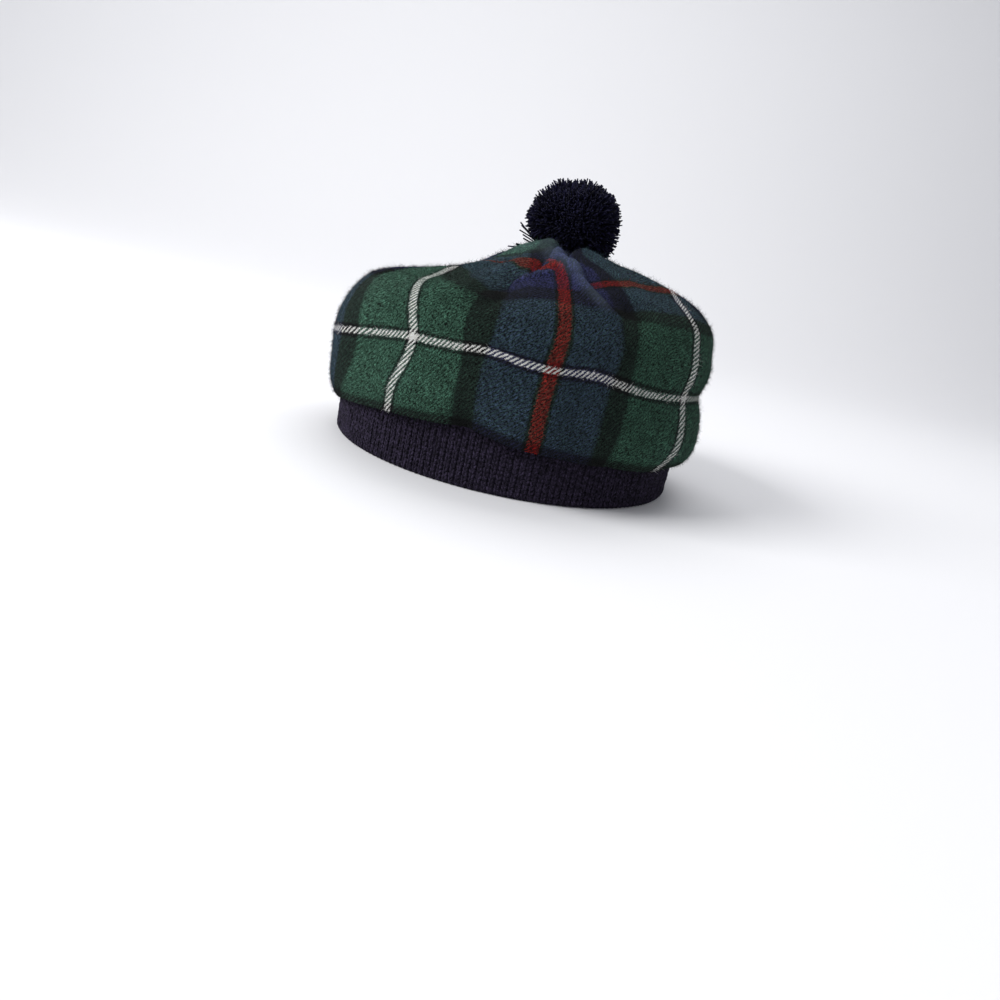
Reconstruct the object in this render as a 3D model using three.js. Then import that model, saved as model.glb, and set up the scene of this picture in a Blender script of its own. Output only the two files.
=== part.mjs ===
// A tam o' shanter: a round tartan crown, a ribbed headband and a yarn pompom. Millimetres, +Z up.
import * as THREE from "three";

const CLOTH_THICK = 1.8; // brushed wool, one layer
const COLUMNS = 72; // steps round the hat
const FIRST_COLUMN_DEG = 3; // puts a column on every dart
const LAP_GAP = 0.7; // between the crown's sewn edge and the band under it

// The rib-knit band: a tube of soft knit, a little longer front to back than side to side.
const BAND = { sideRadius: 91.8, foreRadius: 93.5, height: 29, thick: 4.2, edgeRound: 1.6, flatFoot: 1.6 };

// The pompom: a ball of cut yarn, flattened where it sits in the gathered centre of the crown.
const POMPOM = { x: 11, y: 0, z: 125.5, radius: 24.6, halfHeight: 22, squareness: 2.05, lump: 0.5 };

// The crown in section, from its sewn edge, under the hem, up the side and over the top to the centre.
// level runs along the cloth, and is 0 half-way up the side. Radii and heights are given on four sides.
const SECTION = [
  { level: -43, left: [93.6, 22.5], front: [95.2, 30.0], right: [93.4, 26.5], back: [95.2, 29.0], shift: 0 },
  { level: -39, left: [93.8, 20.5], front: [95.4, 26.0], right: [93.6, 22.5], back: [95.4, 25.0], shift: 0 },
  { level: -36, left: [95.0, 18.8], front: [96.8, 24.0], right: [95.3, 20.5], back: [96.8, 23.0], shift: 0 },
  { level: -32, left: [96.2, 21.0], front: [98.2, 27.0], right: [97.6, 23.0], back: [98.2, 26.0], shift: 0 },
  { level: -23, left: [98.2, 28.0], front: [100.0, 35.5], right: [100.2, 31.0], back: [100.2, 35.0], shift: 0 },
  { level: -11, left: [99.2, 39.5], front: [101.0, 48.0], right: [99.2, 43.5], back: [101.4, 48.0], shift: 0 },
  { level: 0, left: [99.4, 51.0], front: [101.0, 60.0], right: [95.8, 55.0], back: [101.3, 60.0], shift: 0 },
  { level: 12, left: [97.6, 63.0], front: [100.0, 73.0], right: [97.4, 67.0], back: [100.3, 72.0], shift: 0 },
  { level: 22, left: [94.2, 72.5], front: [96.6, 82.0], right: [96.0, 77.0], back: [97.0, 82.0], shift: 0 },
  { level: 31, left: [88.5, 79.4], front: [90.6, 87.6], right: [94.0, 86.5], back: [91.0, 88.0], shift: 0 },
  { level: 41, left: [80.5, 82.6], front: [81.5, 91.3], right: [87.8, 93.6], back: [81.5, 91.5], shift: 0 },
  { level: 56, left: [68.0, 85.2], front: [66.5, 96.8], right: [73.5, 100.6], back: [66.5, 96.0], shift: 1 },
  { level: 72, left: [54.5, 87.6], front: [50.0, 102.8], right: [57.0, 105.6], back: [50.0, 100.5], shift: 3 },
  { level: 86, left: [42.5, 92.3], front: [37.0, 107.6], right: [39.5, 108.4], back: [37.0, 105.0], shift: 5.5 },
  { level: 98, left: [29.0, 103.0], front: [27.0, 110.8], right: [27.0, 109.0], back: [27.0, 109.0], shift: 8.5 },
  { level: 111, left: [18.0, 103.0], front: [18.0, 103.5], right: [18.0, 103.0], back: [18.0, 103.5], shift: 10.5 },
  { level: 122, left: [8.0, 99.5], front: [8.0, 99.5], right: [8.0, 99.5], back: [8.0, 99.5], shift: 11 },
  { level: 130, left: [0, 98.5], front: [0, 98.5], right: [0, 98.5], back: [0, 98.5], shift: 11 },
];
const LEVELS = [-43, -41, -39, -37.5, -36, -34, -32, -27, -20, -11, 0, 10, 19, 26, 32, 38, 47, 60, 74, 86, 95, 104, 113, 122];

// Eight darts take in the top. Each pair stands either side of a stripe, and starts at the top of the side.
const DARTS = {
  middlesDeg: [8, 98, 188, 278], halfSpreadDeg: 20, startLevel: 24, fullLevel: 48, endLevel: 112,
  softDepth: 1.8, softWidth: 8, creaseDepth: 0.8, creaseWidth: 2,
};

// Soft hollows and swellings where the fullness is eased: azimuth from the front, positive to the right.
const LUMPS = [
  { name: "left of the middle front, at a dart", deg: -12, level: 30, halfDeg: 7, halfLevel: 11, out: -3.6 },
  { name: "right of the middle front, at a dart", deg: 28, level: 36, halfDeg: 5, halfLevel: 11, out: -2.0 },
  { name: "left corner", deg: -62, level: 40, halfDeg: 6, halfLevel: 11, out: -2.0 },
  { name: "front pleat that rises to the pompom", deg: 9, level: 94, halfDeg: 22, halfLevel: 12, out: 1.5 },
];

// The hem hangs lower in some places than in others: lift fades out at endLevel.
const HEM_WAVES = [
  { deg: -27, halfDeg: 24, endLevel: 40, lift: 3.6 },
  { deg: -10, halfDeg: 9, endLevel: 6, lift: 2.8 },
  { deg: 38, halfDeg: 20, endLevel: 5, lift: -1.4 },
  { deg: 150, halfDeg: 20, endLevel: 20, lift: -2.0 },
  { deg: -160, halfDeg: 22, endLevel: 20, lift: 2.0 },
  { deg: -130, halfDeg: 20, endLevel: 15, lift: 1.6 },
];

const radians = THREE.MathUtils.degToRad;
const turnTo = (deg) => ((((deg + 180) % 360) + 360) % 360) - 180; // -180 to 180
const bell = (x) => Math.exp(-x * x);
const smooth = (low, high, x) => THREE.MathUtils.smoothstep(x, low, high);

// Catmull-Rom through the section's values at any level.
function alongSection(read, level) {
  const last = SECTION.length - 1;
  let i = 0;
  while (i < last - 1 && SECTION[i + 1].level < level) i++;
  const slope = (k) => {
    const a = SECTION[Math.max(k - 1, 0)], b = SECTION[Math.min(k + 1, last)];
    return (read(b) - read(a)) / (b.level - a.level);
  };
  const step = SECTION[i + 1].level - SECTION[i].level;
  const u = (level - SECTION[i].level) / step;
  return (2 * u ** 3 - 3 * u ** 2 + 1) * read(SECTION[i]) + (u ** 3 - 2 * u ** 2 + u) * step * slope(i)
    + (3 * u ** 2 - 2 * u ** 3) * read(SECTION[i + 1]) + (u ** 3 - u ** 2) * step * slope(i + 1);
}

// A value that runs smoothly round the hat through its left, front, right and back values.
function aroundHat(level, which, angle) {
  const [left, front, right, back] = ["left", "front", "right", "back"]
    .map((side) => alongSection((row) => row[side][which], level));
  return (left + front + right + back) / 4 + ((right - left) / 2) * Math.cos(angle)
    + ((back - front) / 2) * Math.sin(angle) + ((left + right - front - back) / 4) * Math.cos(2 * angle);
}

// The middle of the crown's cloth at an azimuth from the front and a level.
function crownPoint(deg, level) {
  const angle = radians(deg - 90);
  let radius = aroundHat(level, 0, angle);
  let height = aroundHat(level, 1, angle);
  let inward = 0;
  const taken = smooth(DARTS.startLevel, DARTS.fullLevel, level)
    * (1 - smooth(DARTS.endLevel, DARTS.endLevel + 12, level));
  for (const middle of DARTS.middlesDeg)
    for (const side of [-1, 1]) {
      const across = radians(turnTo(deg - middle - side * DARTS.halfSpreadDeg)) * Math.max(radius, 1);
      inward += taken * (DARTS.softDepth * bell(across / DARTS.softWidth)
        + DARTS.creaseDepth * bell(across / DARTS.creaseWidth));
    }
  for (const lump of LUMPS)
    inward -= lump.out * bell(turnTo(deg - lump.deg) / lump.halfDeg) * bell((level - lump.level) / lump.halfLevel);
  for (const wave of HEM_WAVES)
    height += wave.lift * bell(turnTo(deg - wave.deg) / wave.halfDeg) * (1 - smooth(0, wave.endLevel, level));
  const top = smooth(20, 48, level); // on the side a hollow goes inward, on the top it goes down
  radius -= inward * (1 - top);
  height -= inward * top;
  const shift = alongSection((row) => row.shift, level);
  return new THREE.Vector3(Math.cos(angle) * radius + shift, Math.sin(angle) * radius, height);
}

function crownNormal(deg, level) {
  const round = crownPoint(deg + 0.5, level).sub(crownPoint(deg - 0.5, level));
  const up = crownPoint(deg, level + 0.25).sub(crownPoint(deg, level - 0.25));
  return round.cross(up).normalize();
}

const bandRadius = (angle) => 1 / Math.hypot(Math.cos(angle) / BAND.sideRadius, Math.sin(angle) / BAND.foreRadius);
const columnDeg = (i) => FIRST_COLUMN_DEG + (i * 360) / COLUMNS;

// A closed surface from a list of rings of points, each the same length. A ring of one point is a pole.
function meshFromRings(name, rings, closeTheSection, look) {
  const positions = [], starts = [], faces = [];
  for (const ring of rings) {
    starts.push(positions.length / 3);
    for (const p of ring) positions.push(p.x, p.y, p.z);
  }
  const count = rings.length;
  for (let r = 0; r < (closeTheSection ? count : count - 1); r++) {
    const low = rings[r].length, high = rings[(r + 1) % count].length;
    const a = starts[r], b = starts[(r + 1) % count], around = Math.max(low, high);
    for (let i = 0; i < around; i++) {
      const j = (i + 1) % around;
      if (low === 1) faces.push(a, b + j, b + i);
      else if (high === 1) faces.push(a + i, a + j, b);
      else faces.push(a + i, a + j, b + j, a + i, b + j, b + i);
    }
  }
  const geometry = new THREE.BufferGeometry();
  geometry.setAttribute("position", new THREE.Float32BufferAttribute(positions, 3));
  geometry.setIndex(faces);
  geometry.computeVertexNormals();
  const mesh = new THREE.Mesh(geometry, new THREE.MeshStandardMaterial({ metalness: 0, ...look }));
  mesh.name = name;
  return mesh;
}

const ringOf = (make) => Array.from({ length: COLUMNS }, (_, i) => make(columnDeg(i)));
const pole = (z) => [new THREE.Vector3(SECTION.at(-1).shift, 0, z)];

// Crown: the cloth's inner face from the centre down to the sewn edge, then its outer face back up again.
function makeCrown() {
  const half = CLOTH_THICK / 2;
  const face = (side) => LEVELS.map((level) =>
    ringOf((deg) => crownPoint(deg, level).addScaledVector(crownNormal(deg, level), side * half)));
  const centre = SECTION.at(-1).front[1];
  const outer = [...face(1), pole(centre + half)];
  const inner = [...face(-1), pole(centre - half)];
  return meshFromRings("crown", [...inner.reverse(), ...outer], false, { color: "#3f5f5c", roughness: 0.95 });
}

// Headband: an upright ring of knit with rounded edges, flat underneath where it stands.
function makeHeadband() {
  const { height, thick, edgeRound, flatFoot } = BAND;
  const inset = (thick - flatFoot) / 2;
  const profile = [ // [in from the outer face, height]
    [thick - inset, 0], [inset, 0], [0, edgeRound], [0, height - edgeRound],
    [inset, height], [thick - inset, height], [thick, height - edgeRound], [thick, edgeRound],
  ];
  const rings = profile.map(([inward, z]) => ringOf((deg) => {
    const angle = radians(deg - 90), r = bandRadius(angle) - inward;
    return new THREE.Vector3(Math.cos(angle) * r, Math.sin(angle) * r, z);
  }));
  return meshFromRings("headband", rings, true, { color: "#22222c", roughness: 0.95 });
}

// Pompom: its outer form.
function makePompom() {
  const { x, y, z, radius, halfHeight, squareness, lump } = POMPOM;
  const rows = 16, columns = 30;
  const point = (tilt, turn) => {
    const across = Math.abs(Math.cos(tilt)), up = Math.abs(Math.sin(tilt));
    const size = (across ** squareness + up ** squareness) ** (-1 / squareness);
    const rough = 1 + (lump / radius) * Math.sin(3 * turn + 1) * Math.sin(4 * tilt) * across;
    return new THREE.Vector3(
      x + radius * size * rough * Math.cos(tilt) * Math.cos(turn),
      y + radius * size * rough * Math.cos(tilt) * Math.sin(turn),
      z + halfHeight * size * rough * Math.sin(tilt),
    );
  };
  const rings = [[point(-Math.PI / 2, 0)]];
  for (let r = 1; r < rows; r++)
    rings.push(Array.from({ length: columns }, (_, i) =>
      point(-Math.PI / 2 + (r * Math.PI) / rows, (i * 2 * Math.PI) / columns)));
  rings.push([point(Math.PI / 2, 0)]);
  return meshFromRings("pompom", rings, false, { color: "#15161f", roughness: 1 });
}

const hat = new THREE.Group();
hat.name = "tam";
hat.add(makeCrown(), makeHeadband(), makePompom());

// The origin is on the surface the band stands on, under the middle of the whole hat.
const box = new THREE.Box3().setFromObject(hat, true);
const middle = box.getCenter(new THREE.Vector3());
hat.position.set(-middle.x, -middle.y, -box.min.z);

export default hat;
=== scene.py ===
import bpy, math
import numpy as np
from mathutils import Matrix, Vector


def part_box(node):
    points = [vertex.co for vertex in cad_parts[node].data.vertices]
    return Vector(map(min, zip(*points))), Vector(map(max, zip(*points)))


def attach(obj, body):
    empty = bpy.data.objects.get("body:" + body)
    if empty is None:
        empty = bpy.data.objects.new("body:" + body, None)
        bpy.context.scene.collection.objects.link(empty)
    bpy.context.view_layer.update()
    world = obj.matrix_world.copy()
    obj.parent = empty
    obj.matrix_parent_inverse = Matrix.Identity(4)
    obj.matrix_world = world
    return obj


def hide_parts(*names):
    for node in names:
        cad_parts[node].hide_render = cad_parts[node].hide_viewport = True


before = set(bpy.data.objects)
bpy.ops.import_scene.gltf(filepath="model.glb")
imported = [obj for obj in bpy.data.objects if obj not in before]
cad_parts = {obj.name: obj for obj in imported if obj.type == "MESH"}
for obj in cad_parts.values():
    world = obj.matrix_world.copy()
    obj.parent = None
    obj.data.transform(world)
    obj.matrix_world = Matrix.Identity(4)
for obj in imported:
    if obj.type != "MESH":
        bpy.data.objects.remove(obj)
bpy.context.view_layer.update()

# ---------------------------------------------------------------- crown
# The full part of the bonnet: a tube of brushed 2/2 twill wool, woven in a tartan. Eight darts take
# in its top, the middle is gathered tight, and the lower edge is eased on to the headband, so the
# cloth bulges out over the band and hangs a little lower at the sides.
MM = 0.001
CLOTH_THICK = 1.8
band_low, band_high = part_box("headband")
AXIS = np.array([(band_low[0] + band_high[0]) / 2, (band_low[1] + band_high[1]) / 2, 0]) / MM

# Level (mm along the cloth from the middle of the side), radius at the left, front, right and back,
# height at the same four, and how far the section's centre is to the right. All in mm.
SECTION = np.array([
    (-43, 93.6, 95.2, 93.4, 95.2, 22.5, 30.0, 26.5, 29.0, 0.0),
    (-39, 93.8, 95.4, 93.6, 95.4, 20.5, 26.0, 22.5, 25.0, 0.0),
    (-36, 95.0, 96.8, 95.3, 96.8, 18.8, 24.0, 20.5, 23.0, 0.0),
    (-32, 96.2, 98.2, 97.6, 98.2, 21.0, 27.0, 23.0, 26.0, 0.0),
    (-23, 98.2, 100.0, 100.2, 100.2, 28.0, 35.5, 31.0, 35.0, 0.0),
    (-11, 99.2, 101.0, 99.2, 101.4, 39.5, 48.0, 43.5, 48.0, 0.0),
    (0, 99.4, 101.0, 95.8, 101.3, 51.0, 60.0, 55.0, 60.0, 0.0),
    (12, 96.4, 100.0, 97.4, 100.3, 63.0, 73.0, 67.0, 72.0, 0.0),
    (22, 92.0, 96.6, 96.0, 97.0, 72.5, 82.0, 77.0, 82.0, 0.0),
    (31, 86.6, 90.6, 94.0, 91.0, 79.4, 87.6, 86.5, 88.0, 0.0),
    (41, 80.5, 81.5, 87.8, 81.5, 82.6, 91.3, 93.6, 91.5, 0.0),
    (56, 68.0, 66.5, 73.5, 66.5, 85.2, 96.8, 100.6, 96.0, 1.0),
    (72, 54.5, 50.0, 57.0, 50.0, 87.6, 102.8, 105.6, 100.5, 3.0),
    (86, 42.5, 37.0, 39.5, 37.0, 92.3, 107.6, 108.4, 105.0, 5.5),
    (98, 29.0, 27.0, 27.0, 27.0, 103.0, 110.8, 109.0, 109.0, 8.5),
    (111, 18.0, 18.0, 18.0, 18.0, 103.0, 103.5, 103.0, 103.5, 10.5),
    (122, 8.0, 8.0, 8.0, 8.0, 99.5, 99.5, 99.5, 99.5, 11.0),
    (130, 0.0, 0.0, 0.0, 0.0, 98.5, 98.5, 98.5, 98.5, 11.0),
])
GATHER_CENTRE = (11.0, 0.0, 98.5)
# Darts, in degrees from the front round to the right: where it starts, how far it leans by the rim
# and then by the middle, the level it starts at, depth, and rise of the cloth on either side (mm).
DARTS = [
    (-12, 3.0, 8.0, 14, 3.6, 1.0, 0.8), (28, -9.0, -9.0, 18, 3.4, 0.8, 0.9),
    (78, -3.0, 2.0, 30, 2.2, 0.9, 0.9), (118, 2.0, 3.0, 26, 2.2, 1.0, 0.6),
    (168, -2.0, -3.0, 24, 2.0, 0.8, 1.0), (208, 3.0, 4.0, 28, 2.3, 0.7, 1.0),
    (258, -2.0, -4.0, 26, 2.0, 1.0, 0.7), (298, 2.0, 4.0, 26, 2.4, 0.8, 0.9),
]
# Swellings and hollows: azimuth, level, half-width (degrees), half-height and rise (mm).
LUMPS = [
    (-12, 28, 7, 11, -5.6), (29, 36, 4, 8, -4.0), (-62, 40, 6, 11, -2.0), (9, 90, 22, 10, 0.8),
    (100, 84, 38, 18, -5.0), (82, -1, 24, 5, -1.2), (-30, -18, 13, 12, 1.3), (2, -20, 12, 12, 1.0),
    (50, -24, 16, 9, 1.5), (-48, 12, 14, 16, 1.0), (-11, -34, 4, 9, -2.2), (31, -34, 4, 8, -1.6),
    (-56, -32, 5, 8, -1.4), (-26, 91, 15, 9, 3.0), (150, -26, 14, 10, 1.4), (195, -20, 15, 12, 1.2),
    (240, -24, 14, 10, 1.3), (172, -34, 5, 8, -1.6), (218, -34, 5, 8, -1.8), (120, 4, 14, 10, 0.9),
    (262, 0, 15, 14, 0.9), (100, -34, 5, 8, -1.5),
]
# Folds on the top: azimuth and level at each end, half-width and height (mm).
FOLDS = [
    (19, 32, 12, 59, 5.0, 3.8), (12, 59, 0, 82, 5.6, 4.8), (0, 82, -10, 98, 5.6, 3.0),
    (-9, 49, 3, 54, 3.6, 2.6), (-18, 52, -22, 94, 6.0, 1.2), (38, 45, 34, 92, 7.0, 0.9),
    (60, 60, 56, 96, 6.0, 1.0), (99, 50, 96, 96, 8.0, 1.0), (141, 55, 146, 96, 7.0, 1.2),
    (186, 50, 184, 96, 8.0, 1.0), (232, 52, 228, 96, 7.0, 1.2), (278, 50, 284, 95, 7.0, 0.9),
    (318, 48, 322, 94, 7.0, 1.1),
]
# How the hem rides up and down: azimuth, half-width, level where it has died out, lift (mm).
HEM_WAVES = [
    (-27, 24, 40, 3.6), (-10, 9, 6, 2.8), (38, 20, 5, -1.4), (150, 20, 20, -2.0),
    (-160, 22, 20, 2.0), (-130, 20, 15, 1.6), (100, 14, 8, 1.2), (-75, 12, 8, -1.0),
]


def smooth(low, high, x):
    """0 at low and 1 at high, in an S. Low may be the greater of the two."""
    u = np.clip((x - low) / (high - low), 0, 1)
    return u * u * (3 - 2 * u)


def bell(x):
    return np.exp(-x * x)


def turn(deg):
    """The same direction, as -180 to 180 degrees."""
    return (deg + 180) % 360 - 180


def through(knots, values, x):
    """A smooth curve through a row of values at each knot."""
    slopes = np.gradient(values, knots, axis=0)
    i = np.clip(np.searchsorted(knots, x, side="right") - 1, 0, len(knots) - 2)
    step = (knots[i + 1] - knots[i])[:, None]
    u = (x - knots[i])[:, None] / step
    return ((2 * u**3 - 3 * u**2 + 1) * values[i] + (u**3 - 2 * u**2 + u) * step * slopes[i]
            + (3 * u**2 - 2 * u**3) * values[i + 1] + (u**3 - u**2) * step * slopes[i + 1])


def around(four, angle):
    """A smooth value at an angle, from those at the left, front, right and back."""
    left, front, right, back = four.T
    return ((left + front + right + back) / 4 + (right - left) / 2 * np.cos(angle)
            + (back - front) / 2 * np.sin(angle)
            + (left + right - front - back) / 4 * np.cos(2 * angle))


def dart_azimuth(dart, level):
    return dart[0] + dart[1] * smooth(18, 50, level) + dart[2] * smooth(50, 80, level)


def crown_surface(deg, level):
    """Middle of the cloth, in mm about the hat's axis, at flat arrays of azimuths and levels, and how
    far folds lift it and hollows sink it there."""
    angle = np.radians(deg - 90)
    at = through(SECTION[:, 0], SECTION[:, 1:], level)
    radius, height = around(at[:, 0:4], angle), around(at[:, 4:8], angle)
    out = np.zeros_like(radius)
    lifted = np.zeros_like(radius)
    arm = np.maximum(radius, 1.0)
    for dart in DARTS:
        across = np.radians(turn(deg - dart_azimuth(dart, level))) * arm
        taken = smooth(dart[3], dart[3] + 22, level) * (1 - smooth(112, 124, level))
        wide = 7.0 - 3.2 * smooth(45, 110, level)
        out -= taken * dart[4] * (0.6 * bell(across / wide) + 0.4 * bell(across / 1.4))
        out += taken * dart[5] * bell((across + 1.6 * wide) / wide)
        out += taken * dart[6] * bell((across - 1.6 * wide) / wide)
    for at_deg, at_level, half_deg, half_level, rise in LUMPS:
        lifted += rise * bell(turn(deg - at_deg) / half_deg) * bell((level - at_level) / half_level)
    for deg_a, level_a, deg_b, level_b, half, rise in FOLDS:
        t = (level - level_a) / (level_b - level_a)
        across = np.radians(turn(deg - deg_a - (deg_b - deg_a) * t)) * arm
        lifted += rise * bell(across / half) * smooth(-0.25, 0.12, t) * (1 - smooth(0.88, 1.25, t))
    out += lifted
    # the slack that easing leaves above the hem, and the unevenness of soft cloth
    turns = np.radians(deg)
    ease = (1 - smooth(-38, -8, level)) * smooth(-43, -37, level)
    out += ease * 0.55 * np.sin(17 * turns + 1.3 * np.sin(3 * turns))
    loose = smooth(-40, -20, level) * (1 - smooth(100, 120, level))
    out += loose * 0.5 * np.sin(5 * turns + level / 19 + 0.6) * np.sin(level / 15 + 1.1)
    out += loose * 0.35 * np.sin(11 * turns - level / 11) * np.sin(level / 9 + 2.2)
    # the hem lies on the band, not in it
    out = np.maximum(out, -0.1 - 4.0 * smooth(-40, -29, level))
    for at_deg, half_deg, end, lift in HEM_WAVES:
        height = height + lift * bell(turn(deg - at_deg) / half_deg) * (1 - smooth(0, end, level))
    top = smooth(20, 48, level)
    radius = radius + out * (1 - top)
    height = height + out * top
    return np.stack([np.cos(angle) * radius + at[:, 8], np.sin(angle) * radius, height], 1), lifted


# Eight panels between the darts: the levels between which the darts bite, and the route of the
# tartan's middle stripe, red and white by turns, as (level, azimuth).
PANELS = [
    (36, 62, [(-30, 7.5), (-19, 7.2), (0, 7.7), (13, 8.6), (28, 8.1), (40, 8.2), (47, 8), (57, 6),
              (64, 1.5), (68, -4), (71, -12), (92, -30)]),
    (50, 85, [(0, 55), (12, 54.6), (28, 55.4), (42, 57.4), (52, 61), (62, 68), (71, 75), (80, 80),
              (92, 80)]),
    (42, 75, [(0, 98), (128, 98)]), (40, 72, [(0, 143), (128, 143)]),
    (40, 72, [(0, 188), (128, 188)]), (40, 72, [(0, 233), (128, 233)]),
    (40, 72, [(0, 278), (128, 278)]),
    (26, 55, [(0, 323), (9, 321.6), (20, 322), (30, 323), (38, 324.6), (58, 320), (80, 302),
              (92, 299)]),
]
# Half a repeat of the tartan round the hat, from red to white, and up it, from white to red (mm).
HALF_ROUND, HALF_UP = 79.0, 68.5
SIDE_RADIUS, GATHERED_ARM = 100.8, 52.0
# The level where the top begins, and those between which the twill left of the front is closer set.
TOP_FROM, TWILL_EASED = 31, (22, 62)
# Where the cloth is pulled along itself: azimuth and half-width (degrees), the levels where the pull
# comes in, those where it fades, how far round and how far up it goes (mm), and in which panels.
ALL, AT_ONCE, NEVER = range(8), (-200, -199), (200, 201)
PULLS = [
    (-36, 8, AT_ONCE, (-32, -18), -2.7, 0, ALL), (-75, 9, AT_ONCE, (45, 75), 7.0, 0, ALL),
    (-61, 6, AT_ONCE, (45, 75), 3.5, 0, ALL), (-49, 6, AT_ONCE, (45, 75), -4.0, 0, ALL),
    (-11, 9, (5, 24), (50, 75), 0, 7.5, (7, 0)), (-2, 7, (50, 68), NEVER, 0, 4.0, (7,)),
    (52, 12, (25, 36), NEVER, 0, -4.0, (1,)), (15, 6, (38, 50), NEVER, 0, 4.0, (1,)),
    (30, 9, (38, 50), NEVER, 0, 6.5, (1,)),
]


def cloth_measure(panel, deg, level, radius):
    """Where a point lies in the tartan: mm round from the front red line, mm up from the white. The
    last pair is the same on the cloth as it lies, which the twill follows."""
    bite, full, route = PANELS[panel]
    route = np.array(route, float)
    stripe = through(route[:, 0], route[:, 1:], np.clip(level.ravel(), route[0, 0], route[-1, 0]))
    stripe = stripe[:, 0].reshape(level.shape)
    side = turn(deg)
    arm = np.clip(radius, GATHERED_ARM, SIDE_RADIUS)
    arm = SIDE_RADIUS + (arm - SIDE_RADIUS) * smooth(bite, full, level)
    flat_round = panel * HALF_ROUND + np.radians(turn(deg - stripe)) * arm
    # the cloth is skewed where it is eased on to the band, most of all left of the front
    left = smooth(-12, -28, side) * (1 - smooth(-60, -112, side))
    round_ = flat_round - 16.5 * left * np.where(level < 0, bell(level / 26), bell(level / 30))
    round_ += 11 * bell((side - 50) / 14) * bell((level + 36) / 16)
    # at the sides the cloth is stretched round the hat, and its twill with it
    flat_round -= 0.9 * (np.clip(side, 40, 90) + np.clip(side, -90, -40))
    along = level - 0.4 * (np.clip(level, *TWILL_EASED) - TWILL_EASED[0]) * (panel == 7)
    # how far the tartan goes for each mm of the top: most at the right, least at the left
    reach = 0.92 + 0.36 * np.tanh(1.6 * np.sin(np.radians(deg))) + 0.25 * (panel in (5, 6))
    if panel == 1:
        reach = 1.28 - 0.16 * bell((side - 33) / 8)
    up = np.where(level > TOP_FROM, TOP_FROM + (level - TOP_FROM) * reach, level)
    up += (1.5 * bell((side + 14) / 8) - 2.1 * bell((side - 19) / 9)) * bell(level / 18)
    for azimuth, half, comes, goes, mm_round, mm_up, panels in PULLS:
        if panel in panels:
            pull = bell((side - azimuth) / half) * smooth(*comes, level) * (1 - smooth(*goes, level))
            round_ += mm_round * pull
            up += mm_up * pull
    if panel == 0:  # the cloth slips down along the ridge right of the front
        slip = (19 + np.maximum(level - 72, 0)) * smooth(50, 70, level)
        up += 7.5 * smooth(50, 66, level) - slip * smooth(2, 6, side + 0.6 * (level - 66))
    if panel == 1:  # its white line is drawn in to the left, and spreads where the side swells
        up += 4 * smooth(25, 36, level)
        up = np.where(up > 80, 80 + 0.3 * (up - 80), up)
        from_white = round_ - HALF_ROUND
        from_white = from_white * np.where(from_white < 0, 0.88, 1.0)
        from_white += 15 * bell((side - 30) / 14) * smooth(35, 65, level)
        round_ = HALF_ROUND + from_white * (1 - 0.35 * bell(from_white / 8))
    if panel == 7:  # drawn up towards the dart left of the front, its red line going into a tuck
        away = np.maximum(-side - 22, 0)
        up -= 0.9 * away * smooth(20, 50, level) * (1 - smooth(65, 85, level))
        drawn = 5 * smooth(-6, -14, side) + 0.3 * np.maximum(-side - 24, 0)
        up += drawn * smooth(50, 68, level)
        up += 8 * smooth(-19, -22, side) * smooth(63, 64.5, up)
        up += 29 * smooth(74, 86, level)
    return np.stack([round_, up, flat_round, along], -1)


def shown(name, data):
    """A new object in the scene."""
    made = bpy.data.objects.new(name, data)
    bpy.context.collection.objects.link(made)
    return made


def mesh_about_axis(name, points, faces=()):
    """A new mesh from points in mm about the hat's axis."""
    mesh = bpy.data.meshes.new(name)
    mesh.from_pydata(((points + AXIS) * MM).tolist(), [], faces)
    return mesh


STEPS_ACROSS_PANEL = 42
levels = np.concatenate([np.linspace(-43, -30, 13), np.linspace(-30, 100, 80)[1:],
                         np.linspace(100, 128.5, 16)[1:]])
share = np.arange(STEPS_ACROSS_PANEL) / STEPS_ACROSS_PANEL
share = share - 0.09 * np.sin(2 * np.pi * share)  # closer together at the darts
edges = [dart_azimuth(dart, levels) for dart in DARTS]
edges.append(edges[0] + 360)
grid_deg = np.hstack([low[:, None] + (high - low)[:, None] * share
                      for low, high in zip(edges, edges[1:])])
rows, cols = grid_deg.shape
grid_level = np.repeat(levels[:, None], cols, 1)
crown_points, lifted = crown_surface(grid_deg.ravel(), grid_level.ravel())
centre = np.stack([through(SECTION[:, 0], SECTION[:, 9:], levels)[:, 0], 0 * levels], 1)
ring = crown_points.reshape(rows, cols, 3)
mean_radius = np.linalg.norm(ring[..., :2] - centre[:, None], axis=2).mean(1)[:, None] + 0 * grid_deg

# each panel measures its own faces, so the tartan jumps across a dart as it does in sewn cloth
after = (np.arange(cols) + 1) % cols
measure = {}
for side, columns in (("near", np.arange(cols)), ("far", after)):
    parts = []
    for panel in range(len(PANELS)):
        own = columns[panel * STEPS_ACROSS_PANEL:(panel + 1) * STEPS_ACROSS_PANEL]
        parts.append(cloth_measure(panel, grid_deg[:, own], grid_level[:, own], mean_radius[:, own]))
    measure[side] = np.concatenate(parts, 1)
faces, corner_uv = [], []
for r in range(rows - 1):
    for c in range(cols):
        n = int(after[c])
        faces.append((r * cols + c, r * cols + n, (r + 1) * cols + n, (r + 1) * cols + c))
        corner_uv += [measure["near"][r, c], measure["far"][r, c],
                      measure["far"][r + 1, c], measure["near"][r + 1, c]]
tip = rows * cols
for c in range(cols):
    faces.append(((rows - 1) * cols + c, (rows - 1) * cols + int(after[c]), tip))
    corner_uv += [measure["near"][-1, c], measure["far"][-1, c], measure["near"][-1, c]]
mesh = mesh_about_axis("crown_cloth", np.vstack([crown_points, [GATHER_CENTRE]]), faces)
corner_uv = np.array(corner_uv) * MM
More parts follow.
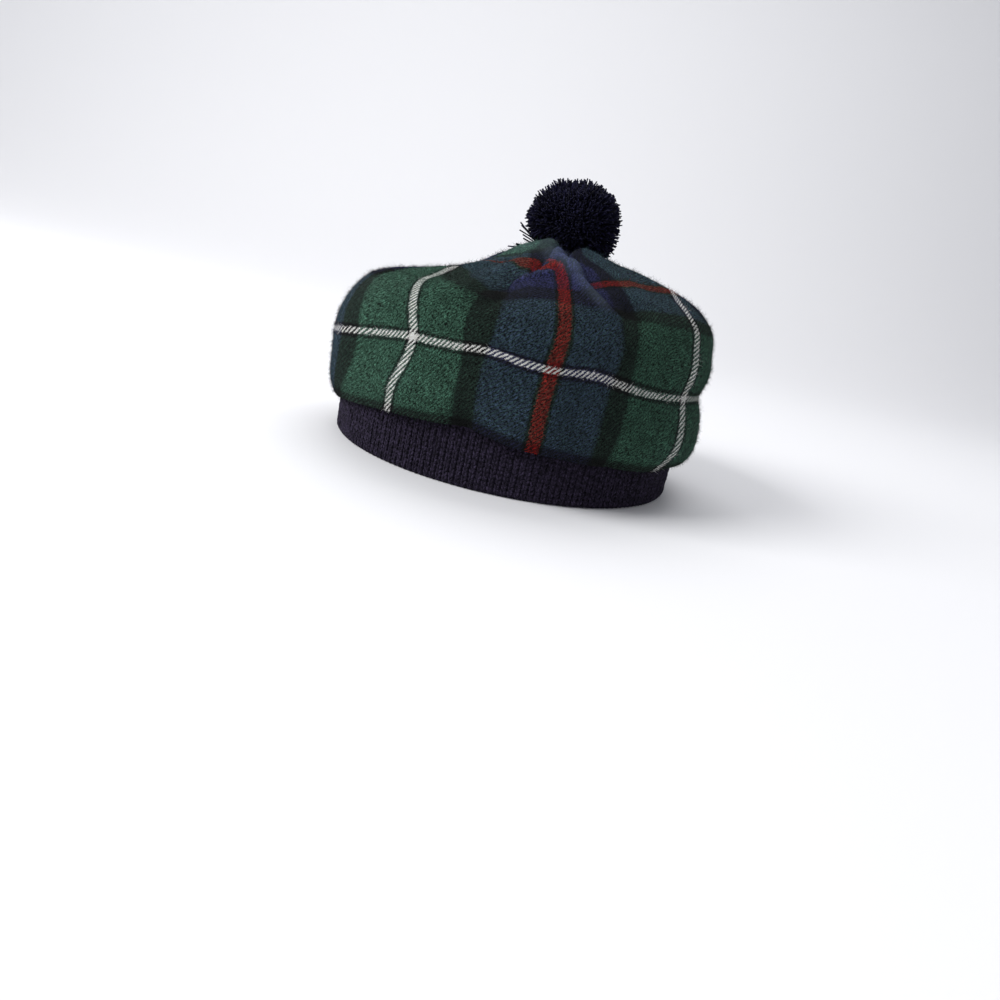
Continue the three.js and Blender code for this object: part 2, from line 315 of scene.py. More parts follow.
mesh.uv_layers.new(name="Cloth").data.foreach_set("uv", corner_uv[:, :2].ravel())
mesh.uv_layers.new(name="Weave").data.foreach_set("uv", corner_uv[:, 2:].ravel())
# how far the cloth is lifted or sunk, which the material uses to paint folds lighter and hollows darker
mesh.attributes.new("Lifted", "FLOAT", "POINT").data.foreach_set("value", np.append(lifted, 0.0))
mesh.shade_smooth()
crown = shown("crown_cloth", mesh)
crown_sheet = mesh.copy()  # the bare sheet, for the nap to grow from


def linear(hex_colour):
    """An sRGB hex colour as linear RGBA."""
    parts = [int(hex_colour[i:i + 2], 16) / 255 for i in (1, 3, 5)]
    return [p / 12.92 if p <= 0.04045 else ((p + 0.055) / 1.055) ** 2.4 for p in parts] + [1.0]


def add(tree, kind, inputs=None, **settings):
    """Adds one node: settings are its properties, inputs its sockets' values or links."""
    node = tree.nodes.new(kind)
    for name, value in settings.items():
        setattr(node, name, value)
    for key, value in (inputs or {}).items():
        if isinstance(value, bpy.types.NodeSocket):
            tree.links.new(value, node.inputs[key])
        else:
            node.inputs[key].default_value = value
    return node


def new_material(name):
    material = bpy.data.materials.new(name)
    material.use_nodes = True
    material.node_tree.nodes.clear()
    return material, material.node_tree


# Brushed wool twill, dyed in the yarn. The twill shows warp and weft by turns in steps of two
# threads, so unlike colours mix and a line of one colour reads as slanting dashes. The nap blurs
# the edges, scatters light at grazing angles and leaves the surface mottled. Threads are about life
# size, and no finer, since finer ones would not show. Noise scales are per metre: 900 is 1.1 mm.
THREAD_MM, EDGE_SOFT_MM = 0.55, 1.3
GREEN, BLUE, BLACK, WHITE, RED = "#375848", "#292b50", "#060606", "#fdfdf8", "#75110f"
tartan, t = new_material("brushed_twill_wool_tartan")
here = add(t, "ShaderNodeTexCoord").outputs["Object"]
cloth = add(t, "ShaderNodeAttribute", attribute_name="Cloth").outputs["Vector"]
weave = add(t, "ShaderNodeAttribute", attribute_name="Weave").outputs["Vector"]
fuzz = add(t, "ShaderNodeTexNoise", {"Vector": here, "Scale": 900.0, "Detail": 3.0, "Roughness": 0.7})
fuzz = add(t, "ShaderNodeVectorMath", {0: fuzz.outputs["Color"], 1: (0.5, 0.5, 0.5)},
           operation="SUBTRACT")


def in_mm(flat, blur):
    """A flat coordinate in mm, pushed about by the nap."""
    nudge = add(t, "ShaderNodeVectorMath", {0: fuzz.outputs[0], 1: (blur, blur, 0)},
                operation="MULTIPLY")
    flat = add(t, "ShaderNodeVectorMath", {0: flat, 1: (1000, 1000, 1000), 2: nudge.outputs[0]},
               operation="MULTIPLY_ADD")
    return add(t, "ShaderNodeSeparateXYZ", {0: flat.outputs[0]})


split, thread_at = in_mm(cloth, 3.0), in_mm(weave, 1.3)
count = []
for axis in ("X", "Y"):
    threads = add(t, "ShaderNodeMath", {0: thread_at.outputs[axis], 1: THREAD_MM}, operation="DIVIDE")
    count.append(add(t, "ShaderNodeMath", {0: threads.outputs[0]}, operation="FLOOR").outputs[0])
step = add(t, "ShaderNodeMath", {0: count[0], 1: count[1]}, operation="SUBTRACT").outputs[0]
step = add(t, "ShaderNodeMath", {0: step, 1: 4.0}, operation="FLOORED_MODULO").outputs[0]
warp_up = add(t, "ShaderNodeMath", {0: step, 1: 1.5}, operation="LESS_THAN").outputs[0]


def sett(axis, half, stripes):
    """Yarn colour by distance from where the sett turns back, as (where it starts, yarn). The nap
    carries each colour a little way over the next. Alpha marks the red, whose long soft fibres
    cover what crosses it."""
    turned = add(t, "ShaderNodeMath", {0: split.outputs[axis], 1: half}, operation="PINGPONG")
    part = add(t, "ShaderNodeMath", {0: turned.outputs[0], 1: half}, operation="DIVIDE").outputs[0]
    starts = [start for start, yarn in stripes] + [half]
    knots = [(0.0, stripes[0][1])]
    for i in range(1, len(stripes)):
        narrow = min(starts[i] - starts[i - 1], starts[i + 1] - starts[i])
        soft = min(EDGE_SOFT_MM, 0.2 * narrow)
        knots += [(starts[i] - soft, stripes[i - 1][1]), (starts[i] + soft, stripes[i][1])]
    ramp = add(t, "ShaderNodeValToRGB", {0: part})
    stops = ramp.color_ramp.elements
    while len(stops) < len(knots):
        stops.new(1.0)
    for stop, (start, yarn) in zip(stops, knots):
        stop.position = start / half
        stop.color = linear(yarn)[:3] + [1.0 if yarn == RED else 0.0]
    return ramp.outputs


warp = sett("X", HALF_ROUND, [(0, RED), (3.0, BLACK), (4.6, BLUE), (27.5, BLACK), (40, GREEN),
                              (75.2, BLACK), (76.9, WHITE)])
weft = sett("Y", HALF_UP, [(0, WHITE), (1.3, BLACK), (3.0, GREEN), (30.5, BLACK), (42.5, BLUE),
                           (64.0, BLACK), (65.4, RED)])
woven = add(t, "ShaderNodeMix", {"Factor": warp_up, "A": weft[0], "B": warp[0]}, data_type="RGBA")
cover = add(t, "ShaderNodeMath", {0: warp[1], 1: weft[1]}, operation="SUBTRACT").outputs[0]
cover = add(t, "ShaderNodeMath", {0: cover, 1: 0.38, 2: 0.5}, operation="MULTIPLY_ADD").outputs[0]
felted = add(t, "ShaderNodeMix", {"Factor": cover, "A": weft[0], "B": warp[0]}, data_type="RGBA")
# light that passes through fibres of both yarns is filtered by both, so the darker one counts more
filtered = add(t, "ShaderNodeVectorMath", {0: weft[0], 1: warp[0]}, operation="MULTIPLY").outputs[0]
filtered = add(t, "ShaderNodeGamma", {"Color": filtered, "Gamma": 0.5}).outputs[0]
both = add(t, "ShaderNodeMath", {0: cover, 1: 0.5}, operation="SUBTRACT").outputs[0]
both = add(t, "ShaderNodeMath", {0: both}, operation="ABSOLUTE").outputs[0]
both = add(t, "ShaderNodeMath", {0: both, 1: -2.6, 2: 0.85}, operation="MULTIPLY_ADD").outputs[0]
felted = add(t, "ShaderNodeMix", {"Factor": both, "A": felted.outputs["Result"], "B": filtered},
             data_type="RGBA")
# a bright yarn stays crisp and even: felting and mottling show on the darker ones
reds = [add(t, "ShaderNodeSeparateColor", {0: yarn[0]}).outputs[0] for yarn in (weft, warp)]
brightest = add(t, "ShaderNodeMath", {0: reds[0], 1: reds[1]}, operation="MAXIMUM").outputs[0]
felting = add(t, "ShaderNodeMapRange", {"Value": brightest, "From Min": 0.25, "From Max": 0.6,
                                        "To Min": 0.75, "To Max": 0.06}).outputs[0]
blend = add(t, "ShaderNodeMix", {"Factor": felting, "A": woven.outputs["Result"],
                                 "B": felted.outputs["Result"]}, data_type="RGBA")
# fibres brushed along the twill, about 0.6 by 2 mm, and larger cloudy patches
along = add(t, "ShaderNodeVectorRotate", {"Vector": weave, "Angle": math.radians(-45)},
            rotation_type="Z_AXIS").outputs[0]
along = add(t, "ShaderNodeVectorMath", {0: along, 1: (650, 1700, 1)}, operation="MULTIPLY").outputs[0]
brushed = add(t, "ShaderNodeTexNoise", {"Vector": along, "Scale": 1.0, "Detail": 3.0,
                                        "Roughness": 0.75})
speckle = add(t, "ShaderNodeTexNoise", {"Vector": here, "Scale": 1800.0, "Detail": 3.0,
                                        "Roughness": 0.8})
mottle = add(t, "ShaderNodeMath", {0: brushed.outputs["Fac"], 1: speckle.outputs["Fac"]}).outputs[0]
mottle = add(t, "ShaderNodeMapRange", {"Value": mottle, "From Min": 0.89, "From Max": 1.15,
                                       "To Min": 0.0, "To Max": 2.5}).outputs[0]
cloudy = add(t, "ShaderNodeTexNoise", {"Vector": here, "Scale": 150.0, "Detail": 3.0})
cloudy = add(t, "ShaderNodeMapRange", {"Value": cloudy.outputs["Fac"], "From Min": 0.3,
                                       "From Max": 0.7, "To Min": 0.8, "To Max": 1.2}).outputs[0]
twill = add(t, "ShaderNodeMath", {0: warp_up, 1: 0.36, 2: 0.82}, operation="MULTIPLY_ADD").outputs[0]
# painted light and shade: folds are painted lighter and hollows darker, by how far the cloth is lifted
# or sunk, in mm
lift_mm = add(t, "ShaderNodeAttribute", attribute_name="Lifted").outputs["Fac"]
painted_fold_shade = add(t, "ShaderNodeMapRange", {"Value": lift_mm, "From Min": -4.0, "From Max": 4.5,
                                       "To Min": 0.55, "To Max": 1.5}).outputs[0]
tone = add(t, "ShaderNodeMath", {0: mottle, 1: cloudy}, operation="MULTIPLY").outputs[0]
tone = add(t, "ShaderNodeMath", {0: tone, 1: painted_fold_shade}, operation="MULTIPLY").outputs[0]
tone = add(t, "ShaderNodeMath", {0: tone, 1: twill}, operation="MULTIPLY").outputs[0]
uneven = add(t, "ShaderNodeMapRange", {"Value": brightest, "From Min": 0.25, "From Max": 0.6,
                                       "To Min": 1.0, "To Max": 0.2}).outputs[0]
tone = add(t, "ShaderNodeMath", {0: tone, 1: 1.0}, operation="SUBTRACT").outputs[0]
tone = add(t, "ShaderNodeMath", {0: tone, 1: uneven, 2: 1.0}, operation="MULTIPLY_ADD").outputs[0]
tinted = add(t, "ShaderNodeVectorMath", {0: blend.outputs["Result"], "Scale": tone}, operation="SCALE")
# painted highlight: the crests of folds lifted more than 1 mm are painted paler and bluer
pale = add(t, "ShaderNodeMapRange", {"Value": lift_mm, "From Min": 1.0, "From Max": 5.0,
                                     "To Min": 0.0, "To Max": 0.26}).outputs[0]
tinted = add(t, "ShaderNodeMix", {"Factor": pale, "A": tinted.outputs[0], "B": linear("#788a98")},
             data_type="RGBA")
rib = add(t, "ShaderNodeMath", {0: warp_up, 1: 0.3, 2: mottle}, operation="MULTIPLY_ADD").outputs[0]
bump = add(t, "ShaderNodeBump", {"Strength": 0.9, "Distance": 0.0006, "Height": rib})
wool = add(t, "ShaderNodeBsdfPrincipled", {
    "Base Color": tinted.outputs["Result"], "Roughness": 0.95, "Specular IOR Level": 0.05,
    "Sheen Weight": 0.06, "Sheen Roughness": 0.4, "Sheen Tint": linear("#b9c6c4"),
    "Normal": bump.outputs[0]})
add(t, "ShaderNodeOutputMaterial", {"Surface": wool.outputs[0]})
crown.data.materials.append(tartan)
wall = crown.modifiers.new("cloth thickness", "SOLIDIFY")
wall.thickness, wall.offset = CLOTH_THICK * MM, 0

# ---------------------------------------------------------------- nap
# The raised surface of the same cloth: wool fibres that the brushing has pulled out of the yarn, a
# close short pile and some longer ones over it. They lean every way, take the colour of the yarn
# they come from, and soften the outline.
NAP = {"crown_nap": (2.9, 0.085, 215000, 2, 11), "crown_short_nap": (1.7, 0.1, 600000, 1, 12)}


def new_tree(name, sizes):
    """A Geometry Nodes tree with a mesh coming in and a named input for each size."""
    tree = bpy.data.node_groups.new(name, "GeometryNodeTree")
    tree.interface.new_socket("Mesh", in_out="INPUT", socket_type="NodeSocketGeometry")
    for size in sizes:
        tree.interface.new_socket(size, in_out="INPUT", socket_type="NodeSocketFloat")
    tree.interface.new_socket("Mesh", in_out="OUTPUT", socket_type="NodeSocketGeometry")
    return tree, add(tree, "NodeGroupInput").outputs


def finish_tree(tree, instances, material):
    real = add(tree, "GeometryNodeRealizeInstances", {"Geometry": instances}).outputs[0]
    made = add(tree, "GeometryNodeSetMaterial", {"Geometry": real, "Material": material}).outputs[0]
    add(tree, "NodeGroupOutput", {"Mesh": made})


def grow(name, mesh, tree, sizes):
    """Runs a tree on a mesh and returns the result as a plain object."""
    piece = shown(name, mesh)
    modifier = piece.modifiers.new(tree.name, "NODES")
    modifier.node_group = tree
    sockets = {s.name: s.identifier for s in tree.interface.items_tree if s.in_out == "INPUT"}
    for size, value in sizes.items():
        modifier[sockets[size]] = value
    bpy.context.view_layer.update()
    evaluated = piece.evaluated_get(bpy.context.evaluated_depsgraph_get())
    result = bpy.data.meshes.new_from_object(evaluated)
    piece.modifiers.remove(modifier)
    piece.data = result
    result.name = name
    return piece


def bent(tree, shape, length, bend):
    """Bends a shape that stands on Z over to one side, more towards its tip."""
    place = add(tree, "GeometryNodeInputPosition").outputs[0]
    z = add(tree, "ShaderNodeSeparateXYZ", {0: place}).outputs[2]
    rise = add(tree, "ShaderNodeMath", {0: z, 1: length}, operation="DIVIDE").outputs[0]
    rise = add(tree, "ShaderNodeMath", {0: rise, 1: 2.0}, operation="POWER").outputs[0]
    aside = add(tree, "ShaderNodeMath", {0: length, 1: bend}, operation="MULTIPLY").outputs[0]
    aside = add(tree, "ShaderNodeMath", {0: aside, 1: rise}, operation="MULTIPLY").outputs[0]
    offset = add(tree, "ShaderNodeCombineXYZ", {0: aside}).outputs[0]
    return add(tree, "GeometryNodeSetPosition", {"Geometry": shape, "Offset": offset}).outputs[0]


naps = []
for name, (length, thick, per_m2, segments, seed) in NAP.items():
    g, size = new_tree(name, ("Fibres per square metre", "Length", "Thickness", "Root"))
    spot = add(g, "GeometryNodeDistributePointsOnFaces", {
        "Mesh": size["Mesh"], "Density": size["Fibres per square metre"], "Seed": seed})
    root = add(g, "ShaderNodeVectorMath", {0: spot.outputs["Normal"], "Scale": size["Root"]},
               operation="SCALE").outputs[0]
    roots = add(g, "GeometryNodeSetPosition", {"Geometry": spot.outputs["Points"], "Offset": root})
    spike = add(g, "GeometryNodeMeshCone", {
        "Vertices": 3, "Side Segments": segments, "Radius Top": 0.0, "Radius Bottom": size["Thickness"],
        "Depth": size["Length"]})
    fibre = bent(g, spike.outputs["Mesh"], size["Length"], 0.55)
    lean = add(g, "FunctionNodeRandomValue", {0: (0.25, 0.0, 0.0), 1: (1.25, 0.0, 6.283), "Seed": 3},
               data_type="FLOAT_VECTOR").outputs[0]
    facing = add(g, "FunctionNodeRotateRotation", {0: spot.outputs["Rotation"], 1: lean},
                 rotation_space="LOCAL")
    grown = add(g, "FunctionNodeRandomValue", {2: 0.4, 3: 1.3, "Seed": 5}, data_type="FLOAT").outputs[1]
    fibres = add(g, "GeometryNodeInstanceOnPoints", {
        "Points": roots.outputs[0], "Instance": fibre, "Rotation": facing.outputs[0], "Scale": grown})
    finish_tree(g, fibres.outputs[0], tartan)
    naps.append(grow(name, crown_sheet.copy(), g, {
        "Fibres per square metre": per_m2, "Length": length * MM, "Thickness": thick * MM,
        "Root": (CLOTH_THICK / 2 - 0.3) * MM}))

for piece in [crown] + naps:
    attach(piece, "root")
    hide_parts("crown")

# ---------------------------------------------------------------- headband
# A close-fitting ribbed band, knitted in navy wool in one-and-one rib and stretched round the head.
# Its knit columns stand out as cords with V stitches, the purl columns between them sink back.
RIBS, STITCH_ROWS = 190, 13
BAND = {"side": 91.8, "fore": 93.5, "height": 29.0}  # half its width and depth, and its height, in mm
RIB_DEEP = 0.75


def band_radius(angle, inward=0.0):
    side, fore = BAND["side"] - inward, BAND["fore"] - inward
    return 1 / np.hypot(np.cos(angle) / side, np.sin(angle) / fore)


steps = RIBS * 8
angle = np.linspace(0, 2 * np.pi, steps, endpoint=False)
rib = np.cos(RIBS * angle)
# outline of the band's wall from its outer foot up, over the top and down the inside: depth from the
# outer face, height, and how much of the ribbing shows there
WALL = [(2.1, 0.0, 0.0), (0.9, 0.35, 0.5), (0.3, 1.1, 1.0), (0.2, 5.0, 1.0), (0.2, 12.0, 1.0),
        (0.2, 20.0, 1.0), (0.3, 27.0, 1.0), (0.9, 28.5, 0.6), (2.1, 29.0, 0.0), (3.3, 28.5, -0.6),
        (3.9, 27.0, -1.0), (4.0, 20.0, -1.0), (4.0, 10.0, -1.0), (3.9, 1.4, -1.0), (3.2, 0.4, -0.5)]
loops = []
for depth, height, ribbing in WALL:
    radius = band_radius(angle, depth) + ribbing * RIB_DEEP * (0.5 * rib - 0.5)
    foot = 0.45 * (1 - rib) * (1 - smooth(0.2, 5.0, height)) * (ribbing != 0)
    loops.append(np.stack([np.cos(angle) * radius, np.sin(angle) * radius, height + foot], 1))
count_rows = len(loops)
band_faces = [(r * steps + c, r * steps + (c + 1) % steps,
               (r + 1) % count_rows * steps + (c + 1) % steps, (r + 1) % count_rows * steps + c)
              for r in range(count_rows) for c in range(steps)]
headband = shown("headband_knit", mesh_about_axis("headband_knit", np.concatenate(loops), band_faces))
headband.data.shade_smooth()

# Soft navy wool, dyed almost black with a little violet in it. Each stitch catches the light on its
# crown and the gaps between the ribs stay dark; fine fluff breaks up the surface.
navy, t = new_material("navy_wool_rib_knit")
here = add(t, "ShaderNodeTexCoord").outputs["Object"]
fluff = add(t, "ShaderNodeTexNoise", {"Vector": here, "Scale": 1100.0, "Detail": 3.0, "Roughness": 0.8})
heather = add(t, "ShaderNodeTexNoise", {"Vector": here, "Scale": 500.0, "Detail": 2.0})
shade = add(t, "ShaderNodeValToRGB", {0: heather.outputs["Fac"]})
shade.color_ramp.elements[0].position, shade.color_ramp.elements[0].color = 0.35, linear("#15111b")
shade.color_ramp.elements[1].position, shade.color_ramp.elements[1].color = 0.65, linear("#2a2434")
light = add(t, "ShaderNodeMapRange", {"Value": fluff.outputs["Fac"], "From Min": 0.35, "From Max": 0.65,
                                      "To Min": 0.1, "To Max": 1.9}).outputs[0]
colour = add(t, "ShaderNodeVectorMath", {0: shade.outputs[0], "Scale": light}, operation="SCALE")
bump = add(t, "ShaderNodeBump", {"Strength": 0.5, "Distance": 0.0003, "Height": fluff.outputs["Fac"]})
yarn = add(t, "ShaderNodeBsdfPrincipled", {
    "Base Color": colour.outputs[0], "Roughness": 0.9, "Specular IOR Level": 0.1, "Sheen Weight": 0.12,
    "Sheen Roughness": 0.5, "Sheen Tint": linear("#8c88a4"), "Normal": bump.outputs[0]})
add(t, "ShaderNodeOutputMaterial", {"Surface": yarn.outputs[0]})
headband.data.materials.append(navy)

# one V for each stitch of each knit column: two plump legs of yarn that meet at the foot
STITCH_HIGH = (BAND["height"] - 2.0) / STITCH_ROWS
column, row = np.meshgrid(np.arange(RIBS), np.arange(STITCH_ROWS))
height = (1.0 + (row + 0.1) * STITCH_HIGH).ravel()
turned = (2 * np.pi * column / RIBS).ravel()
radius = band_radius(turned, 0.35)
stitch_points = np.stack([np.cos(turned) * radius, np.sin(turned) * radius, height], 1)
outward = np.stack([np.cos(turned) / BAND["side"], np.sin(turned) / BAND["fore"], 0 * turned], 1)
outward /= np.linalg.norm(outward, axis=1)[:, None]
mesh = mesh_about_axis("stitch_places", stitch_points)
mesh.attributes.new("outward", "FLOAT_VECTOR", "POINT").data.foreach_set("vector", outward.ravel())

g, size = new_tree("rib stitches", ("Stitch height", "Yarn radius", "Spread"))
legs = []
for side in (-1, 1):
    leg = add(g, "GeometryNodeMeshUVSphere", {"Segments": 6, "Rings": 4, "Radius": 1.0})
    half = add(g, "ShaderNodeMath", {0: size["Stitch height"], 1: 0.66},
               operation="MULTIPLY").outputs[0]
    stretch = add(g, "ShaderNodeCombineXYZ", {0: size["Yarn radius"], 1: size["Yarn radius"], 2: half})
    shift = add(g, "ShaderNodeMath", {0: size["Spread"], 1: float(side)},
                operation="MULTIPLY").outputs[0]
    place = add(g, "ShaderNodeCombineXYZ", {0: shift, 2: half}).outputs[0]
    legs.append(add(g, "GeometryNodeTransform", {
        "Geometry": leg.outputs["Mesh"], "Translation": place, "Scale": stretch.outputs[0],
        "Rotation": (0.0, side * math.radians(24), 0.0)}).outputs[0])
stitch = add(g, "GeometryNodeJoinGeometry")
for leg in legs:
    g.links.new(leg, stitch.inputs[0])
out = add(g, "GeometryNodeInputNamedAttribute", {"Name": "outward"},
          data_type="FLOAT_VECTOR").outputs[0]
facing = add(g, "FunctionNodeAxesToRotation", {0: (0.0, 0.0, 1.0), 1: out},
             primary_axis="Z", secondary_axis="Y").outputs[0]
wobble = add(g, "FunctionNodeRandomValue", {0: (-0.12, -0.10, -0.12), 1: (0.12, 0.10, 0.12), "Seed": 2},
             data_type="FLOAT_VECTOR").outputs[0]
facing = add(g, "FunctionNodeRotateRotation", {0: facing, 1: wobble}, rotation_space="LOCAL").outputs[0]
plump = add(g, "FunctionNodeRandomValue", {2: 0.9, 3: 1.1, "Seed": 8}, data_type="FLOAT").outputs[1]
knit = add(g, "GeometryNodeInstanceOnPoints", {
    "Points": add(g, "GeometryNodeMeshToPoints", {"Mesh": size["Mesh"]}).outputs[0],
    "Instance": stitch.outputs[0], "Rotation": facing, "Scale": plump})
finish_tree(g, knit.outputs[0], navy)
stitches = grow("headband_stitches", mesh, g, {
    "Stitch height": STITCH_HIGH * MM, "Yarn radius": 0.62 * MM, "Spread": 0.62 * MM})
stitches.data.shade_smooth()

for piece in (headband, stitches):
    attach(piece, "root")
    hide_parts("headband")

# ---------------------------------------------------------------- pompom
# A thick ball of cut yarn, wound, tied through the middle of the crown and trimmed by hand, so its
# outline is a little uneven and a few ends stick out. It is the same navy wool as the band.
# In mm from the hat's axis and what it rests on; at a square of 2 it would be an ellipsoid.
POMPOM = {"x": 11.0, "y": 0.0, "z": 125.5, "radius": 24.6, "half_height": 22.0, "square": 2.05}
STRAND_LENGTH, STRAND_RADIUS, STRANDS_PER_M2 = 15 * MM, 0.38 * MM, 950000


def pompom_shape(inset, lower=-90.0, upper=90.0, left=0.0, right=360.0, steps=(64, 40), drop=0.0):
    """A patch of the ball's surface, between two latitudes and two azimuths."""
    turned, tilt = np.meshgrid(np.radians(np.linspace(left, right, steps[0]) - 90),
                               np.radians(np.linspace(lower, upper, steps[1])))
    way = np.stack([np.cos(tilt) * np.cos(turned), np.cos(tilt) * np.sin(turned), np.sin(tilt)], -1)
    square = POMPOM["square"]
    reach = np.hypot(way[..., 0], way[..., 1]) ** square + np.abs(way[..., 2]) ** square
    reach = reach ** (-1 / square)
    half = np.array([POMPOM["radius"], POMPOM["radius"], POMPOM["half_height"]]) - inset
    points = way * reach[..., None] * half
    points[..., 0] += 0.11 * np.maximum(points[..., 2], 0) + 0.18 * np.maximum(-points[..., 2], 0)
    points += [POMPOM["x"], POMPOM["y"], POMPOM["z"] - drop]
    n, m = steps
    quads = [(r * n + c, r * n + c + 1, (r + 1) * n + c + 1, (r + 1) * n + c)
             for r in range(m - 1) for c in range(n - 1)]
    return mesh_about_axis("pompom_form", points.reshape(-1, 3), quads)


# Worsted yarn ends, almost black: the cut tips catch a bluish light and everything between is dark.
ends, t = new_material("navy_wool_cut_yarn")
here = add(t, "ShaderNodeTexCoord").outputs["Object"]
lint = add(t, "ShaderNodeTexNoise", {"Vector": here, "Scale": 1600.0, "Detail": 3.0, "Roughness": 0.7})
own = add(t, "ShaderNodeAttribute", attribute_name="strand").outputs["Fac"]
shade = add(t, "ShaderNodeValToRGB", {0: own})
shade.color_ramp.elements[0].color = linear("#040409")
shade.color_ramp.elements[1].color = linear("#1a1934")
light = add(t, "ShaderNodeMapRange", {"Value": lint.outputs["Fac"], "From Min": 0.3, "From Max": 0.7,
                                      "To Min": 0.5, "To Max": 1.6}).outputs[0]
colour = add(t, "ShaderNodeVectorMath", {0: shade.outputs[0], "Scale": light}, operation="SCALE")
bump = add(t, "ShaderNodeBump", {"Strength": 0.5, "Distance": 0.0003, "Height": lint.outputs["Fac"]})
yarn = add(t, "ShaderNodeBsdfPrincipled", {
    "Base Color": colour.outputs[0], "Roughness": 0.75, "Specular IOR Level": 0.14,
    "Sheen Weight": 0.06, "Sheen Roughness": 0.5, "Sheen Tint": linear("#7f83b0"),
    "Normal": bump.outputs[0]})
add(t, "ShaderNodeOutputMaterial", {"Surface": yarn.outputs[0]})

g, size = new_tree("cut yarn", ("Strands per square metre", "Length", "Radius", "Uneven", "Untidy",
                                "Tufts"))
spot = add(g, "GeometryNodeDistributePointsOnFaces", {
    "Mesh": size["Mesh"], "Density": size["Strands per square metre"], "Seed": 21})
lumpy = add(g, "ShaderNodeTexNoise", {"Vector": add(g, "GeometryNodeInputPosition").outputs[0],
                                      "Scale": 110.0, "Detail": 2.0}).outputs[0]
lumpy = add(g, "ShaderNodeMath", {0: lumpy, 1: 0.5}, operation="SUBTRACT").outputs[0]
cut = add(g, "FunctionNodeRandomValue", {2: -0.5, 3: 0.5, "Seed": 4}, data_type="FLOAT").outputs[1]
cut = add(g, "ShaderNodeMath", {0: lumpy, 1: 2.0, 2: cut}, operation="MULTIPLY_ADD").outputs[0]
cut = add(g, "ShaderNodeMath", {0: cut, 1: size["Uneven"]}, operation="MULTIPLY").outputs[0]
cut = add(g, "ShaderNodeMath", {0: cut, 1: size["Length"]}, operation="SUBTRACT").outputs[0]
foot = add(g, "ShaderNodeVectorMath", {0: spot.outputs["Normal"], "Scale": cut},
           operation="SCALE").outputs[0]
feet = add(g, "GeometryNodeSetPosition", {"Geometry": spot.outputs["Points"], "Offset": foot})
tube = add(g, "GeometryNodeMeshCone", {
    "Vertices": 3, "Side Segments": 3, "Radius Top": size["Radius"], "Radius Bottom": size["Radius"],
    "Depth": size["Length"]})
strand = bent(g, tube.outputs["Mesh"], size["Length"], 0.12)
low = add(g, "ShaderNodeMath", {0: size["Untidy"], 1: -1.0}, operation="MULTIPLY").outputs[0]
lean = add(g, "FunctionNodeRandomValue", {
    0: add(g, "ShaderNodeCombineXYZ", {0: low}).outputs[0],
    1: add(g, "ShaderNodeCombineXYZ", {0: size["Untidy"], 2: 6.283}).outputs[0], "Seed": 6},
    data_type="FLOAT_VECTOR").outputs[0]
facing = add(g, "FunctionNodeRotateRotation", {0: spot.outputs["Rotation"], 1: lean},
             rotation_space="LOCAL")
# neighbours lean the same way, so the ends lie in tufts
tuft = add(g, "ShaderNodeTexNoise", {"Vector": add(g, "GeometryNodeInputPosition").outputs[0],
                                     "Scale": 85.0, "Detail": 1.0}).outputs["Color"]
tuft = add(g, "ShaderNodeVectorMath", {0: tuft, 1: (0.5, 0.5, 0.5)}, operation="SUBTRACT").outputs[0]
tuft = add(g, "ShaderNodeVectorMath", {0: tuft, "Scale": size["Tufts"]}, operation="SCALE").outputs[0]
facing = add(g, "FunctionNodeRotateRotation", {0: facing.outputs[0], 1: tuft}, rotation_space="GLOBAL")
tint = add(g, "FunctionNodeRandomValue", {2: 0.0, 3: 1.0, "Seed": 9}, data_type="FLOAT").outputs[1]
marked = add(g, "GeometryNodeStoreNamedAttribute", {
    "Geometry": feet.outputs[0], "Name": "strand", "Value": tint}, data_type="FLOAT", domain="POINT")
pile = add(g, "GeometryNodeInstanceOnPoints", {
    "Points": marked.outputs[0], "Instance": strand, "Rotation": facing.outputs[0]})
finish_tree(g, pile.outputs[0], ends)
pompom = grow("pompom_yarn", pompom_shape(0.9), g, {
    "Strands per square metre": STRANDS_PER_M2, "Length": STRAND_LENGTH, "Radius": STRAND_RADIUS,
    "Uneven": 3.2 * MM, "Untidy": 0.5, "Tufts": 2.2})
strays = grow("pompom_stray_ends", pompom_shape(-4.5, 4, 24, 262, 282, (12, 10), 16.5), g, {
    "Strands per square metre": 150000, "Length": 17 * MM, "Radius": 0.45 * MM,
    "Uneven": 5 * MM, "Untidy": 0.45, "Tufts": 0.0})
for piece in (pompom, strays):
    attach(piece, "root")
    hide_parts("pompom")

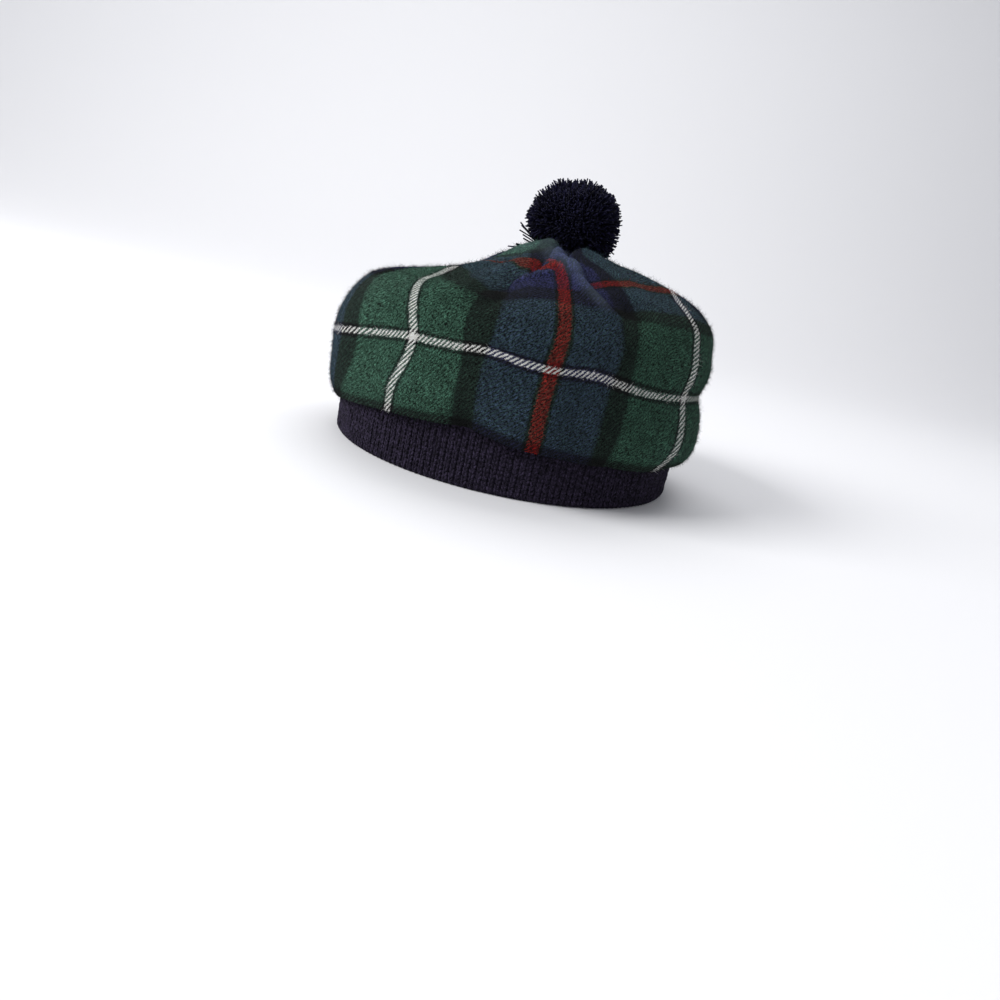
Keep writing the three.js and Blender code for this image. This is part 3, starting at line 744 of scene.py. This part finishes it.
# ---------------------------------------------------------------- table, light and camera
# A seamless pale sheet for the hat to rest on, soft daylight from the left and behind, and a camera
# a little above the hat, held slightly turned.
SWEEP = [(-3.0, 0.0), (-1.0, 0.0), (0.3, 0.0), (0.7, 0.0), (1.0, 0.0), (1.3, 0.05), (1.55, 0.2),
         (1.7, 0.5), (1.75, 1.0), (1.75, 2.0), (1.75, 4.0)]
sweep_points = [(x, y, z) for y, z in SWEEP for x in (-4.0, 4.0)]
sweep_faces = [(2 * i, 2 * i + 1, 2 * i + 3, 2 * i + 2) for i in range(len(SWEEP) - 1)]
mesh = bpy.data.meshes.new("sweep")
mesh.from_pydata(sweep_points, [], sweep_faces)
mesh.shade_smooth()
sweep = shown("sweep", mesh)
paper, t = new_material("matt_pale_paper")
matt = add(t, "ShaderNodeBsdfPrincipled", {"Base Color": linear("#e0e0e2"), "Roughness": 0.9})
add(t, "ShaderNodeOutputMaterial", {"Surface": matt.outputs[0]})
sweep.data.materials.append(paper)
rounding = sweep.modifiers.new("soft curve", "SUBSURF")
rounding.levels = rounding.render_levels = 3


def softbox(name, place, target, width, height, watts, colour="#ffffff"):
    lamp = bpy.data.lights.new(name, "AREA")
    lamp.shape, lamp.size, lamp.size_y, lamp.energy = "RECTANGLE", width, height, watts
    lamp.color = linear(colour)[:3]
    box = shown(name, lamp)
    box.location = place
    box.rotation_euler = (Vector(target) - Vector(place)).to_track_quat("-Z", "Y").to_euler()


softbox("window_left", (-1.45, -0.65, 1.1), (0, 0, 0.06), 1.0, 1.0, 40)
softbox("sky", (0.0, 0.7, 1.6), (0, 0, 0.05), 1.6, 1.2, 16)
world = bpy.data.worlds.new("white_room")
world.use_nodes = True
world.node_tree.nodes["Background"].inputs["Color"].default_value = linear("#eceef4")
world.node_tree.nodes["Background"].inputs["Strength"].default_value = 0.52
bpy.context.scene.world = world
bpy.context.scene.view_settings.view_transform = "Standard"

CAMERA_BACK, CAMERA_UP = 430, 97  # mm from the hat's axis, and above what it rests on
LOOKS_DOWN, LOOKS_RIGHT, TURNED = 16.25, 0.6978, 12.5  # degrees
pitch, yaw, roll = math.radians(LOOKS_DOWN), math.radians(LOOKS_RIGHT), math.radians(TURNED)
level_right = Vector((math.cos(yaw), -math.sin(yaw), 0))
forward = Vector((math.sin(yaw) * math.cos(pitch), math.cos(yaw) * math.cos(pitch), -math.sin(pitch)))
level_up = level_right.cross(forward)
right = level_right * math.cos(roll) + level_up * math.sin(roll)
up = level_up * math.cos(roll) - level_right * math.sin(roll)
lens = bpy.data.cameras.new("camera")
lens.sensor_width, lens.lens, lens.clip_start = 36, 28.08, 0.01
camera = shown("camera", lens)
stand = Vector((AXIS[0], AXIS[1] - CAMERA_BACK, CAMERA_UP)) * MM
camera.matrix_world = Matrix.Translation(stand) @ Matrix((right, up, -forward)).transposed().to_4x4()
bpy.context.scene.camera = camera
